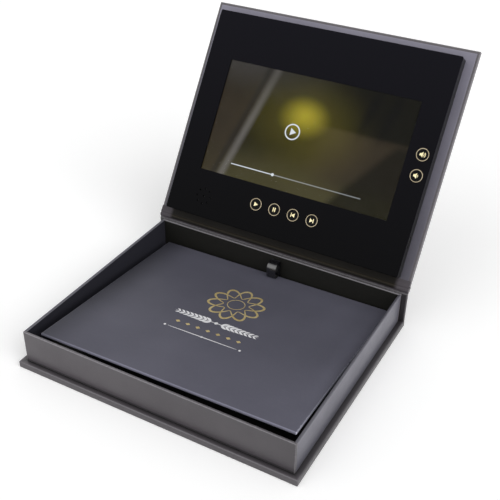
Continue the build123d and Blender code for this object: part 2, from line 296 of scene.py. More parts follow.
def noiseNode(tree, where, scale, detail=3.0, roughness=0.5):
    values = {"Vector": where, "Scale": scale, "Detail": detail, "Roughness": roughness}
    return addNode(tree, "ShaderNodeTexNoise", values).outputs["Fac"]


def fibreNodes(tree, given):
    # paper: soft clouds of tone, short fibres lying every way, and a fine tooth
    where = objectPlace(tree)
    cloud = noiseNode(tree, where, given["Cloud"], 4.0)
    across = noiseNode(tree, pulled(tree, where, 1.0, 0.22), given["Fibre"], 3.0, 0.6)
    along = noiseNode(tree, pulled(tree, where, 0.22, 1.0), given["Fibre"], 3.0, 0.6)
    fibres = larger(tree, across, along)
    flecks = spread(tree, fibres, 0.52, 0.78)
    shadow = spread(tree, cloud, 0.3, 0.7, 0.0, 0.35)
    clouded = mixColour(tree, shadow, given["Base"], grey(0.0), "MULTIPLY")
    softened = mixColour(tree, 0.35, given["Base"], clouded)
    rough = plus(tree, given["Gloss"], spread(tree, cloud, 0.3, 0.7, -0.03, 0.03))
    return {"Color": mixColour(tree, times(tree, flecks, given["Amount"]), softened, given["Fleck"]),
            "Roughness": plus(tree, rough, times(tree, flecks, 0.05)),
            "Height": plus(tree, fibres, times(tree, cloud, 0.3))}


def smudgeNodes(tree, given):
    # handling marks on gloss: broad soft patches and a dusting of fine specks
    where = objectPlace(tree)
    patch = spread(tree, noiseNode(tree, where, given["Patch"], 5.0, 0.6), 0.45, 0.72)
    step = minus(tree, given["Marked"], given["Clean"])
    return {"Roughness": mathNode(tree, "MULTIPLY_ADD", patch, step, given["Clean"]),
            "Dust": times(tree, spread(tree, noiseNode(tree, where, 2600.0, 1.0), 0.74, 0.8), 0.5),
            "Height": noiseNode(tree, where, 160.0, 2.0)}


def brushNodes(tree, given):
    # drawn metal or foil: long fine scratches one way
    where = objectPlace(tree)
    lines = noiseNode(tree, pulled(tree, where, 0.04, 1.0), given["Scale"], 3.0, 0.7)
    both = mathNode(tree, "MULTIPLY_ADD", lines, 0.5, times(tree, noiseNode(tree, where, 140.0), 0.5))
    return {"Color": mixColour(tree, spread(tree, both, 0.35, 0.65), given["Dark"], given["Light"]),
            "Roughness": plus(tree, given["Rough"], spread(tree, both, 0.35, 0.65, 0.1, -0.06)),
            "Height": lines}


def edgeNodes(tree, given):
    # how near a point on a box is to one of its edges: the middle one of its three distances to the faces
    where = objectPlace(tree)
    local = localPlace(tree, where, given["Centre"], given["Turn"])
    size = addNode(tree, "ShaderNodeVectorMath", {0: local}, operation="ABSOLUTE").outputs[0]
    gap = addNode(tree, "ShaderNodeVectorMath", {0: given["Half"], 1: size}, operation="SUBTRACT").outputs[0]
    a, b, c = axesOf(tree, gap)
    low, high = mathNode(tree, "MINIMUM", a, b), larger(tree, a, b)
    middle = larger(tree, low, mathNode(tree, "MINIMUM", high, c))
    wander = spread(tree, noiseNode(tree, where, 700.0, 3.0, 0.6), 0.3, 0.75, 0.6, 1.2)
    share = over(tree, middle, times(tree, given["Width"], wander))
    return {"Mask": mathNode(tree, "SUBTRACT", 1.0, share, clamp=True),
            "Height": spread(tree, over(tree, middle, given["Width"]), 0.0, 1.0)}


def weaveNodes(tree, given):
    # satin ribbon: fine ribs across it and closer threads along it, each the sine of a distance; the paler
    # second colour they bring up is a painted sheen
    where = objectPlace(tree)
    axes = axesOf(tree, where)
    ribs = mathNode(tree, "SINE", times(tree, axes["Z"], times(tree, given["Rib"], 6.283)))
    threads = mathNode(tree, "SINE", times(tree, axes["X"], times(tree, given["Rib"], 9.4)))
    cloth = mathNode(tree, "MULTIPLY_ADD", times(tree, ribs, threads), 0.5, 0.5)
    shade = times(tree, cloth, spread(tree, noiseNode(tree, where, 500.0), 0.3, 0.7, 0.4, 1.0))
    # the paler second colour, brought up by the weave, is a painted sheen
    return {"Color": mixColour(tree, shade, given["Thread"], given["PaintedSheen"]),
            "Roughness": spread(tree, cloth, 0.0, 1.0, 0.2, 0.3), "Height": cloth}


groupSpecs = {   # what is in each shader group, and what it is given
    "paperFibre": (fibreNodes, {"Base": grey(0.2), "Fleck": grey(0.3), "Cloud": 60.0, "Fibre": 900.0,
                                "Amount": 0.25, "Gloss": 0.6}),
    "glossSmudge": (smudgeNodes, {"Clean": 0.08, "Marked": 0.22, "Patch": 25.0}),
    "fineBrush": (brushNodes, {"Light": grey(0.8), "Dark": grey(0.5), "Scale": 1200.0, "Rough": 0.3}),
    "boxEdge": (edgeNodes, {"Centre": (0.0, 0.0, 0.0), "Turn": (0.0, 0.0, 0.0), "Half": (1.0, 1.0, 1.0),
                            "Width": 0.001}),
    # the satin's second, paler colour is a painted sheen
    "satinWeave": (weaveNodes, {"Thread": grey(0.03, 0.03, 0.035), "PaintedSheen": grey(0.09, 0.09, 0.1),
                                "Rib": 2400.0}),
}


def makeGroup(name, build, inputs):
    # a number is given through a Float socket, three through a Vector and four through a Color
    group = bpy.data.node_groups.new(name, "ShaderNodeTree")
    for label, value in inputs.items():
        kind = "Float" if isinstance(value, float) else {3: "Vector", 4: "Color"}[len(value)]
        socket = group.interface.new_socket(label, in_out="INPUT", socket_type="NodeSocket" + kind)
        socket.default_value = value
    results = build(group, group.nodes.new("NodeGroupInput").outputs)
    for label in results:
        kind = "Color" if label == "Color" else "Float"
        group.interface.new_socket(label, in_out="OUTPUT", socket_type="NodeSocket" + kind)
    out = group.nodes.new("NodeGroupOutput").inputs
    for label, socket in results.items():
        group.links.new(socket, out[label])
    return group


groups = {name: makeGroup(name, *spec) for name, spec in groupSpecs.items()}
print("shader groups:", ", ".join(groups))


# materials: each value of a look goes to the socket of its name, on the shader or on the shader group

def fillSockets(node, look):
    for key, value in look.items():
        if key in node.inputs:
            node.inputs[key].default_value = value


def newSurface(name, look):
    material = bpy.data.materials.new(name)
    material.use_nodes = True
    tree = material.node_tree
    shader = tree.nodes["Principled BSDF"]
    fillSockets(shader, look)
    return material, tree, shader


def useGroup(tree, name, look):
    node = addNode(tree, "ShaderNodeGroup", node_tree=groups[name])
    fillSockets(node, look)
    return node.outputs


def bumpNode(tree, height, strength, distance, normal=None):
    values = {"Height": height, "Strength": strength, "Distance": distance}
    if normal is not None:
        values["Normal"] = normal
    return addNode(tree, "ShaderNodeBump", values).outputs[0]


def finishSurface(tree, shader, colour, rough, normal):
    tree.links.new(colour, shader.inputs["Base Color"])
    tree.links.new(rough, shader.inputs["Roughness"])
    tree.links.new(normal, shader.inputs["Normal"])


def boxValues(place, name, width=0.0):
    low, high = boxIn(place, name)
    centre = toWorld(place, (low + high) / 2)
    turn = Matrix(place[1].T.tolist()).to_euler()
    return {"Centre": centre, "Turn": turn, "Half": (high - low) / 2, "Width": width}


def paperSurface(name, look, node=None):
    # fibrous paper, rubbed paler along the edges of a part's box: wear together with a painted highlight
    material, tree, shader = newSurface(name, look)
    colour, rough, height = useGroup(tree, "paperFibre", look)
    normal = bumpNode(tree, height, look["grain"], 0.0002)
    if node:
        values = boxValues(places.get(node, world), node, look["edge"])
        mask, rounded = useGroup(tree, "boxEdge", values)
        # the paler edge colour is wear together with a painted highlight where the rounded edges catch the
        # light
        colour = mixColour(tree, times(tree, mask, look["wear"]), colour, look["worn"])
        normal = bumpNode(tree, rounded, 0.6, look["edge"] * 0.5, normal)
    finishSurface(tree, shader, colour, rough, normal)
    return material


def liningSurface(name, look, sideLightTone, sideAt):
    # the walls' lining: black paper on the end walls, with painted light added on the side walls to make them
    # paler and bluer
    material = paperSurface(name, look, "tray_lining")
    tree = material.node_tree
    socket = tree.nodes["Principled BSDF"].inputs["Base Color"]
    black = socket.links[0].from_socket
    out = unsigned(tree, axesOf(tree, objectPlace(tree))["X"])
    side = spread(tree, out, sideAt - 0.0003, sideAt - 0.0001)
    # painted light: the side walls' lining is made paler and bluer
    paintedSideLight = mixColour(tree, 1.0, black, sideLightTone, "ADD")
    tree.links.new(mixColour(tree, side, black, paintedSideLight), socket)
    return material


def glossSurface(name, look):
    # smudged gloss, dusted with its second colour
    material, tree, shader = newSurface(name, look)
    rough, dust, height = useGroup(tree, "glossSmudge", look)
    colour = mixColour(tree, dust, look["base"], look["dust"])
    finishSurface(tree, shader, colour, rough, bumpNode(tree, height, look["ripple"], 0.0002))
    return material


def grainSurface(name, look, group):
    # metal or satin: a shader group gives the colour too
    material, tree, shader = newSurface(name, look)
    colour, rough, height = useGroup(tree, group, look)
    finishSurface(tree, shader, colour, rough, bumpNode(tree, height, look["grain"], 0.0001))
    return material


def tabled(columns, rows):
    return {name: dict(zip(columns, row)) for name, row in rows.items()}


# each paper's paler edge colour and its strength stand for wear together with a painted highlight
wrapLook = {
    "Base": grey(0.088, 0.078, 0.088), "Fleck": grey(0.13, 0.12, 0.13), "worn": grey(0.27, 0.26, 0.28),
    "Cloud": 45.0, "Fibre": 1300.0, "Amount": 0.3, "Gloss": 0.38, "grain": 0.25,
    "edge": 0.0009, "wear": 0.9, "Specular IOR Level": 0.6,
}
paperLooks = {
    "wrap": wrapLook,
    "baseWrap": {**wrapLook, "wear": 0.3},
    # the side walls: a paler, bluer copy of the wrap, which is painted light from the side
    "sideLitWrap": {**wrapLook, "Base": grey(0.112, 0.109, 0.138), "Fleck": grey(0.16, 0.155, 0.185),
                 "worn": grey(0.2, 0.2, 0.22), "edge": 0.0007, "wear": 0.6},
    "insert": {**wrapLook, "Base": grey(0.084, 0.083, 0.108), "Fleck": grey(0.11, 0.11, 0.13),
               "worn": grey(0.3, 0.3, 0.36), "Cloud": 22.0, "Fibre": 1500.0, "Gloss": 0.48, "grain": 0.18,
               "edge": 0.001, "wear": 1.0, "Specular IOR Level": 0.16},
    "liner": {**wrapLook, "Base": grey(0.205, 0.196, 0.245), "Fleck": grey(0.24, 0.23, 0.27),
              "worn": grey(0.26, 0.25, 0.29), "Cloud": 30.0, "Gloss": 0.5, "grain": 0.2, "edge": 0.0006,
              "wear": 0.3, "Specular IOR Level": 0.3},
    "lining": {"Base": grey(0.0125, 0.0122, 0.0105), "Fleck": grey(0.024, 0.023, 0.02), "worn": grey(0.05),
               "Cloud": 40.0, "Fibre": 1100.0, "Amount": 0.4, "Gloss": 0.62, "grain": 0.3, "edge": 0.0005,
               "wear": 0.2, "Specular IOR Level": 0.2},
    "card": {"Base": grey(0.018), "Fleck": grey(0.034), "worn": grey(0.09), "Cloud": 50.0, "Fibre": 900.0,
             "Amount": 0.4, "Gloss": 0.6, "grain": 0.35, "edge": 0.0005, "wear": 0.5,
             "Specular IOR Level": 0.25},
}
glossLooks = tabled(("base", "dust", "Clean", "Marked", "Patch", "ripple", "Specular IOR Level"), {
    "blackAcrylic": (grey(0.0054, 0.0051, 0.0088), grey(0.03), 0.06, 0.16, 30.0, 0.02, 0.044),
    "blackButton": (grey(0.0028), grey(0.03), 0.1, 0.2, 60.0, 0.02, 0.06),
    "mouldedBlack": (grey(0.012), grey(0.05), 0.36, 0.5, 90.0, 0.3, 0.3),
    "chipBlack": (grey(0.015), grey(0.09), 0.4, 0.55, 200.0, 0.4, 0.5),
    "circuitGreen": (grey(0.012, 0.09, 0.04), grey(0.1, 0.2, 0.12), 0.2, 0.4, 260.0, 0.6, 0.5),
    "whiteSheet": (grey(0.72), grey(0.6), 0.45, 0.6, 80.0, 0.1, 0.5),
    "greyFoam": (grey(0.03), grey(0.12), 0.85, 0.95, 900.0, 1.0, 0.2),
    "amberFilm": (grey(0.32, 0.12, 0.012), grey(0.5, 0.3, 0.1), 0.18, 0.3, 120.0, 0.1, 0.5),
    "redLead": (grey(0.24, 0.01, 0.008), grey(0.3, 0.1, 0.1), 0.3, 0.45, 200.0, 0.1, 0.5),
    "paleGlass": (grey(0.3, 0.38, 0.33), grey(0.5), 0.04, 0.12, 300.0, 0.02, 0.5),
    "whitePrint": (grey(0.8, 0.8, 0.82), grey(0.6), 0.35, 0.5, 200.0, 0.1, 0.5),
})
metalLooks = tabled(("Light", "Dark", "Scale", "Rough", "grain", "Metallic"), {
    "goldFoil": (grey(0.8, 0.66, 0.34), grey(0.52, 0.4, 0.16), 900.0, 0.4, 0.12, 0.6),
    "goldPrint": (grey(0.39, 0.33, 0.235), grey(0.3, 0.25, 0.165), 1500.0, 0.34, 0.1, 1.0),
    "paleGoldPrint": (grey(0.9, 0.81, 0.51), grey(0.78, 0.67, 0.38), 1500.0, 0.34, 0.1, 0.7),
    "batteryFoil": (grey(0.6), grey(0.4), 500.0, 0.3, 0.4, 1.0),
    "darkSteel": (grey(0.1), grey(0.05), 1400.0, 0.45, 0.2, 1.0),
    "drawnSteel": (grey(0.55), grey(0.36), 1400.0, 0.28, 0.2, 1.0),
    "nickelPlate": (grey(0.6, 0.59, 0.57), grey(0.45, 0.44, 0.42), 800.0, 0.2, 0.1, 1.0),
})

gloss = {name: glossSurface(name, look) for name, look in glossLooks.items()}
metal = {name: grainSurface(name, look, "fineBrush") for name, look in metalLooks.items()}


# the image on the screen: plain soft light and shade with a play mark and a progress bar

screenLook = {
    "shade": grey(0.004, 0.0038, 0.0018),   # the darkest olive
    "olive": grey(0.057, 0.051, 0.021),     # the band along the bottom
    "brown": grey(0.04, 0.03, 0.018),       # the lower right and the left
    "glow": grey(0.42, 0.355, 0.03),
    "streak": grey(0.165, 0.155, 0.145),
    "beside": grey(0.018, 0.016, 0.015),    # the dark line beside the streak
    "black": grey(0.001),
    "mark": grey(0.75, 0.8, 0.85),
    # how much of what lies under it each patch covers
    "amounts": {"lift": 0.24, "right": 0.8, "beyond": 0.8, "wide": 0.16, "core": 0.85, "corner": 0.7,
                "posts": 0.9, "left": 0.75, "beside": 0.6, "streak": 1.0, "haze": 0.25},
    # places and sizes where the screen runs from -1 to 1 across and up
    "coreAt": (-0.08, 0.3), "coreSize": (0.32, 0.43), "wideAt": (-0.08, 0.15), "wideSize": (0.85, 1.15),
    "streakAt": -0.627, "streakLean": 0.153, "streakWidth": 0.072, "besideAt": -0.085, "besideWidth": 0.06,
    "posts": (0.48, 0.69), "postUp": 0.75, "postSize": (0.085, 0.75), "postLean": 0.12,
    "brownEdge": (0.8, 0.44),               # where the brown stops on the right, and its lean
    "hazeScale": 26.0,
    # the marks, in metres from the middle
    "ring": (-0.012, 0.001, 0.0062, 0.0005),    # across, up, radius and stroke
    "wedge": (-0.0018, 0.0033, 1.7),            # its back, its tip, and how blunt it is
    "bar": (0.0, -0.034, 0.054, 0.00035),       # across, up, half length and half width
    "knob": (-0.018, 0.0012),                   # across, and radius
    "barAmount": 0.35, "markAmount": 0.9,
    "Clean": 0.08, "Marked": 0.16, "Patch": 40.0,
    "Base Color": grey(0.001), "Emission Strength": 1.0, "Specular IOR Level": 0.06,
}
lensLook = {"Clean": 0.012, "Marked": 0.03, "Patch": 30.0,
            "Base Color": grey(1.0), "Transmission Weight": 1.0, "IOR": 1.02}


def softSpot(tree, x, y, cx, cy, rx, ry):
    # 1 in the middle of an oval, fading to 0 at its rim
    dx, dy = over(tree, minus(tree, x, cx), rx), over(tree, minus(tree, y, cy), ry)
    return spread(tree, hypotenuse(tree, dx, dy), 1.0, 0.0)


def softLine(tree, x, cx, rx):
    return softSpot(tree, x, 0.0, cx, 0.0, rx, 1.0)


def capsule(tree, x, y, cx, cy, half, radius, rim=0.00015):
    # 1 inside a bar with round ends, or a disc where half is nothing
    dx = larger(tree, minus(tree, unsigned(tree, minus(tree, x, cx)), half), 0.0)
    return spread(tree, hypotenuse(tree, dx, minus(tree, y, cy)), radius + rim, radius - rim)


def screenPatches(tree, x, y, haze, look):
    # the image's soft patches from the lowest up: how far each covers a point, and its colour
    lower = times(tree, spread(tree, y, 0.3, 0.2), spread(tree, y, -0.95, -0.45))
    brownAt, brownLean = look["brownEdge"]
    past = minus(tree, x, mathNode(tree, "MULTIPLY_ADD", y, brownLean, brownAt))
    upright = minus(tree, x, times(tree, y, look["postLean"]))
    posts = [softSpot(tree, upright, y, at, look["postUp"], *look["postSize"]) for at in look["posts"]]
    off = minus(tree, x, mathNode(tree, "MULTIPLY_ADD", y, look["streakLean"], look["streakAt"]))
    streak = softLine(tree, off, 0.0, look["streakWidth"])
    return {
        "lift": (times(tree, spread(tree, y, 0.3, 1.0), spread(tree, x, 0.5, -0.9)), "streak"),
        "right": (times(tree, lower, spread(tree, x, -0.1, 0.35)), "brown"),
        "beyond": (times(tree, spread(tree, past, -0.05, 0.08), spread(tree, y, 0.3, 0.1)), "shade"),
        "wide": (softSpot(tree, x, y, *look["wideAt"], *look["wideSize"]), "glow"),
        "core": (softSpot(tree, x, y, *look["coreAt"], *look["coreSize"]), "glow"),
        "corner": (times(tree, spread(tree, x, 0.4, 0.75), spread(tree, y, 0.05, 0.45)), "shade"),
        "posts": (mathNode(tree, "ADD", *posts, clamp=True), "black"),
        "left": (times(tree, spread(tree, off, 0.02, -0.12), spread(tree, y, 1.1, 0.2)), "brown"),
        "beside": (softLine(tree, off, look["besideAt"], look["besideWidth"]), "beside"),
        "streak": (times(tree, streak, spread(tree, y, 1.3, -0.6, 0.35, 0.75)), "streak"),
        "haze": (spread(tree, haze, 0.3, 0.7), "shade"),
    }


def screenMarks(tree, u, v, look):
    # a ring with a play wedge in it, and a bar that is brighter up to its knob
    cx, cy, radius, line = look["ring"]
    inner = capsule(tree, u, v, cx, cy, 0.0, radius - line * 2)
    ring = minus(tree, capsule(tree, u, v, cx, cy, 0.0, radius), inner)
    back, tip, blunt = look["wedge"]
    dx, dy = minus(tree, u, cx), unsigned(tree, minus(tree, v, cy))
    slope = mathNode(tree, "MULTIPLY_ADD", dy, blunt, dx)
    wedge = times(tree, spread(tree, dx, back, back + 0.0003), spread(tree, slope, tip, tip - 0.0004))
    bx, by, half, thick = look["bar"]
    knobX, knobRadius = look["knob"]
    done = capsule(tree, u, v, (knobX - half) / 2, by, (knobX + half) / 2, thick)
    total = times(tree, capsule(tree, u, v, bx, by, half, thick), look["barAmount"])
    for mark in (ring, wedge, done, capsule(tree, u, v, knobX, by, 0.0, knobRadius)):
        total = larger(tree, total, mark)
    return times(tree, total, look["markAmount"])


def imageSurface(name, look):
    material, tree, shader = newSurface(name, look)
    box = boxValues(lid, "screen_lens")
    where = objectPlace(tree)
    u, v = axesOf(tree, localPlace(tree, where, box["Centre"], box["Turn"]))[:2]
    x, y = over(tree, u, box["Half"][0]), over(tree, v, box["Half"][1])
    colour = mixColour(tree, spread(tree, y, -0.2, -0.85), look["shade"], look["olive"])
    patches = screenPatches(tree, x, y, noiseNode(tree, where, look["hazeScale"]), look)
    for patch, (cover, paint) in patches.items():
        colour = mixColour(tree, times(tree, cover, look["amounts"][patch]), colour, look[paint])
    colour = mixColour(tree, screenMarks(tree, u, v, look), colour, look["mark"])
    tree.links.new(colour, shader.inputs["Emission Color"])
    tree.links.new(useGroup(tree, "glossSmudge", look)["Roughness"], shader.inputs["Roughness"])
    return material


def lensSurface(name, look):
    material, tree, shader = newSurface(name, look)
    tree.links.new(useGroup(tree, "glossSmudge", look)["Roughness"], shader.inputs["Roughness"])
    return material


# each finish and its parts

paperParts = {
    "wrap": "spine_board hinge_fold tray_front_wall tray_back_wall lid_board", "baseWrap": "base_board",
    "sideLitWrap": "tray_left_wall tray_right_wall", "liner": "lid_liner", "insert": "lift_out_panel",
    "lining": "tray_floor_lining", "card": "folder_base_sheet folder_back_strip",
}
otherParts = {
    "blackAcrylic": "front_panel", "whiteSheet": "display_backlight", "greyFoam": "display_pads",
    "amberFilm": "display_cable", "circuitGreen": "circuit_board volume_board", "chipBlack": "circuit_chips",
    "mouldedBlack": "module_back_plate module_frame board_posts button_switches", "paleGlass": "reed_switch",
    "redLead": "battery_lead speaker_lead", "batteryFoil": "battery", "darkSteel": "speaker",
    "drawnSteel": "usb_port", "nickelPlate": "tray_magnets lid_magnets switch_magnet",
    "blackButton": " ".join(name for name in nodes if name.endswith("_button")),
}
finishes = {
    "screen_lens": lensSurface("clearLens", lensLook),
    "display_panel": imageSurface("screenPicture", screenLook),
    # the grey added to the lining's side walls is painted light
    "tray_lining": liningSurface("lining_walls", paperLooks["lining"], grey(0.012, 0.012, 0.022),
                                 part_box("tray_floor_lining")[1][0]),
}
for look, names in paperParts.items():
    for name in names.split():
        finishes[name] = paperSurface(look + "_" + name, paperLooks[look], name)
for look, names in otherParts.items():
    finishes.update(dict.fromkeys(names.split(), {**gloss, **metal}[look]))
for name, material in finishes.items():
    nodes[name].data.materials.clear()
    nodes[name].data.materials.append(material)
print("finishes:", len(finishes), "parts")


# painted light and shade across a part: a part's own colour is multiplied by these greys

def upPart(name, low, high):
    # a steady change from the foot of a part to its top
    foot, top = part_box(name)
    return "Z", foot[2], top[2], low, high, "LINEAR"


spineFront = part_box("spine_board")[0][1]
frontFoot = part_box("tray_front_wall")[0][2]
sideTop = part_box("tray_right_wall")[1][2]
sideWallPaintedLight = [upPart("tray_right_wall", 0.92, 1.5), ("Z", sideTop - 0.0004, sideTop - 0.0001, 1.0, 0.5)]
paintedLightRamps = {   # the axis, two places in metres along it, and the greys there; a part's ramps are multiplied
    # painted light and shade: the lining is paler towards its free edge and darker towards the hinge, and the
    # black block is blacker towards the hinge
    "lid_liner": [upPart("lid_liner", 0.5, 1.25)], "front_panel": [upPart("front_panel", 0.15, 1.0)],
    # painted shade: the front face is darkened where it lies in the tray's shadow
    "spine_board": [("Y", spineFront + 0.0002, spineFront + 0.0006, 0.35, 1.0)],
    # painted light and shade: paler towards the rim, and darker on top of it
    "tray_left_wall": sideWallPaintedLight, "tray_right_wall": sideWallPaintedLight,
    # painted light and shade: a little paler to the left, and dark in the crease at its foot
    "tray_front_wall": [("X", -0.1, 0.1, 1.13, 0.86, "LINEAR"),
                        ("Z", frontFoot, frontFoot + 0.002, 0.3, 1.0)],
    # painted shadow by the left wall, and painted light making it a little paler to the right, the front and
    # the back
    "lift_out_panel": [("X", -0.1, 0.1, 0.96, 1.12, "LINEAR"), ("X", -0.097, -0.064, 0.42, 1.02),
                       ("Y", 0.005, -0.05, 1.0, 1.22), ("Y", 0.05, 0.078, 1.0, 1.12)],
    "base_board": [],
}


def ledgePaintedShade(tree, x, y, z, width=0.0036, inCrease=0.05, onRight=0.42):
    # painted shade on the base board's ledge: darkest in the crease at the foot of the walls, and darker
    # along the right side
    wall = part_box("tray_right_wall")[1][0]
    front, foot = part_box("tray_front_wall")[0][1:]
    out = larger(tree, minus(tree, unsigned(tree, x), wall), minus(tree, front, y))
    below = spread(tree, z, foot - 0.0004, foot - 0.0008)
    crease = larger(tree, spread(tree, out, -0.0004, width, inCrease, 1.0), below)
    beside = spread(tree, x, wall, wall + 0.002, 0.0, onRight)
    right = times(tree, beside, spread(tree, y, front - 0.004, front + 0.004))
    return times(tree, crease, minus(tree, 1.0, right))


def insertPaintedLight(tree, x, y, z, onRight=0.2, onEdge=2.2):
    # painted light on the panel: paler along the back part of its right side, and a painted highlight along
    # its front edge
    axis = panel[1][1]
    end = boxIn(panel, "lift_out_panel")[1][1] + float(axis @ panel[0])
    down = times(tree, x, float(axis[0]))
    for value, share in ((y, axis[1]), (z, axis[2])):
        down = mathNode(tree, "MULTIPLY_ADD", value, float(share), down)
    # painted light along the back part of the right side, and a painted highlight along the front edge
    right = times(tree, spread(tree, x, 0.08, 0.093, 0.0, onRight), spread(tree, y, -0.055, -0.005))
    edge = spread(tree, down, end - 0.0011, end - 0.0004, 1.0, onEdge)
    return times(tree, plus(tree, right, 1.0), edge)


paintedLightExtras = {"base_board": ledgePaintedShade, "lift_out_panel": insertPaintedLight}
for name, ramps in paintedLightRamps.items():
    tree = nodes[name].data.materials[0].node_tree
    socket = tree.nodes["Principled BSDF"].inputs["Base Color"]
    before = socket.links[0].from_socket
    axes = axesOf(tree, objectPlace(tree))
    greys = [spread(tree, axes[axis], *ramp) for axis, *ramp in ramps]
    if name in paintedLightExtras:
        greys.append(paintedLightExtras[name](tree, *axes))
    paintedLightAndShade = greys[0]
    for more in greys[1:]:
        paintedLightAndShade = times(tree, paintedLightAndShade, more)
    # the part's colour multiplied by its painted light and shade
    tree.links.new(mixColour(tree, 1.0, before, paintedLightAndShade, "MULTIPLY"), socket)
print("tones:", len(paintedLightRamps), "parts")


# printed and foiled marks: strokes in mm that stand a little proud of the face they lie on

def stroke(path, widths, height, closed=False, sink=0.02, least=0.03):
    # a flat bar with cut corners, carried along a line; it has one full width, or one for each point
    path = np.asarray(path, float)
    if closed:
        along = np.roll(path, -1, 0) - np.roll(path, 1, 0)
    else:
        along = np.gradient(path, axis=0)
    along /= np.linalg.norm(along, axis=1)[:, None]
    side = np.stack((-along[:, 1], along[:, 0]), -1)
    half = np.maximum(np.broadcast_to(widths, len(path)), least)[:, None] / 2
    cut = np.minimum(half * 0.4, height * 0.5)
    low, high = np.full_like(cut, -sink), np.full_like(cut, height)
    across = np.concatenate((-half, half, half, half - cut, cut - half, -half), 1)
    up = np.concatenate((low, low, high - cut, high, high, high - cut), 1)
    flat = path[:, None] + side[:, None] * across[..., None]
    return shellFrom(np.concatenate((flat, up[..., None]), -1), closed)


def circlePath(cx, cy, radius, start=0, stop=360, count=64):
    angle = np.radians(np.linspace(start, stop, count, endpoint=abs(stop - start) < 360))
    return np.stack((cx + radius * np.cos(angle), cy + radius * np.sin(angle)), -1)


def straight(a, b, count=2):
    t = np.linspace(0, 1, count)[:, None]
    return np.array(a) * (1 - t) + np.array(b) * t


def level(start, stop, count=2):
    return straight((start, 0), (stop, 0), count)


def placed(place, centre, strokes):
    # strokes drawn about a centre, as one shape in the world
    points, faces = joined(strokes)
    return toWorld(place, points * mm + centre), faces


markLook = {"ring": 4.45, "line": 0.52, "tip": 0.05, "height": 0.06}   # mm


def inked(path, widths, closed=False):
    return stroke(path, widths, markLook["height"], closed)


def playIcon(size):
    return [inked(level(-0.42 * size, 0.52 * size), (size, markLook["tip"]))]


def pauseIcon(size):
    spots = (-0.22 * size, 0.22 * size)
    return [inked(straight((x, -0.5 * size), (x, 0.5 * size)), 0.26 * size) for x in spots]


def skipIcon(size, way):
    at, half = way * 0.36 * size, 0.44 * size
    bar = inked(straight((at, -half), (at, half)), 0.17 * size)
    return [bar, inked(level(-way * 0.42 * size, way * 0.3 * size), (0.88 * size, markLook["tip"]))]


def volumeIcon(size, waves):
    body = inked(level(-0.52 * size, -0.3 * size), 0.4 * size)
    horn = inked(level(-0.3 * size, 0.06 * size), (0.4 * size, 1.0 * size))
    arcs = [circlePath(-0.1 * size, 0, radius * size, -42, 42, 16) for radius in (0.36, 0.6)[:waves]]
    return [body, horn] + [inked(arc, 0.11 * size) for arc in arcs]


icons = {
    "play": playIcon(3.3), "pause": pauseIcon(3.2), "previous": skipIcon(3.6, -1), "next": skipIcon(3.6, 1),
    "volume_down": volumeIcon(4.1, 1), "volume_up": volumeIcon(4.1, 2),
}
for key, icon in icons.items():
    low, high = boxIn(lid, key + "_button")
    face = np.array(((low[0] + high[0]) / 2, (low[1] + high[1]) / 2, high[2]))
    ring = inked(circlePath(0, 0, markLook["ring"]), markLook["line"], closed=True)
    words = key.split("_")
    markName = words[0] + "".join(word.title() for word in words[1:]) + "Mark"
    mark = makePiece(markName, placed(lid, face, [ring] + icon), metal["goldPrint"],
                     second=metal["paleGoldPrint"], secondFrom=len(ring[1]))
    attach(mark, key + "_key")
print("button marks:", len(icons))


# the ornament on the lift-out panel

ornament = {   # mm
    "middle": (-2.5, 55.0),     # across and down from the crease
    "radius": 15.0, "swing": 5.6, "petals": 5, "line": 1.05, "eye": 6.4, "eyeLine": 0.6,
    "sprigAt": 84.0, "sprigLength": 66.0, "stem": 0.55, "bud": (2.0, 3.4),
    "leaf": 6.4, "leafWidth": 2.1, "leaves": 8,
    "leafStart": (3.0, 0.2), "leafStop": 4.5,       # from the middle of the stem, and short of its end
    "leafTip": (0.86, 0.5), "leafBow": (-0.1, 0.35),
    "studAt": 95.5, "studs": 7, "studPitch": 8.0, "stud": 3.7,
    "ruleAt": 104.0, "ruleLength": 54.0, "rule": 0.7, "dot": 0.9, "dotGap": 2.4,
    "height": 0.05,
}


def drawDown(strokes):
    # the panel's second axis runs down to its front edge, and a drawing's runs up
    return [(points * (1, -1, 1), faces) for points, faces in strokes]


def rosette(look):
    # two waved rings half a petal apart, whose radius and width swing as a cosine, and a plain ring inside
    t = np.linspace(0, 2 * np.pi, 360, endpoint=False)
    strokes = []
    for phase in (0, np.pi):
        wave = np.cos(look["petals"] * t + phase)
        r = look["radius"] + look["swing"] * wave
        path = np.stack((r * np.cos(t + np.pi / 2), r * np.sin(t + np.pi / 2)), -1)
        strokes.append(stroke(path, look["line"] * (1.15 + 0.55 * wave), look["height"], True))
    eye = stroke(circlePath(0, 0, look["eye"]), look["eyeLine"], look["height"], True)
    return strokes + [eye]


def lozenge(look, x, half, width):
    # a level stroke whose width falls away steadily to either side
    return stroke(level(x - half, x + half, 9), width * (1 - np.abs(np.linspace(-1, 1, 9))), look["height"])


def taper(look, half, width, share):
    # a level stroke whose width falls away as an ellipse does
    t = np.linspace(-1, 1, 33)
    return stroke(level(-half, half, 33), width * np.sqrt(1 - share * t**2), look["height"])


def leaf(look, share, side, up):
    # a line bowed as a sine and as wide as one, smaller the nearer its share is to 1
    t = np.linspace(0, 1, 13)
    out, off = look["leafStart"]
    way = np.array((side, up))
    start = np.array((side * (out + share * (look["sprigLength"] / 2 - look["leafStop"])), up * off))
    tip = start + look["leaf"] * (1 - 0.45 * share) * way * look["leafTip"]
    bow = np.sin(np.pi * t)[:, None] * (way * look["leafBow"])
    width = look["leafWidth"] * (1 - 0.4 * share) * np.sin(np.pi * t**0.8)
    return stroke(straight(start, tip, 13) + bow, width, look["height"])


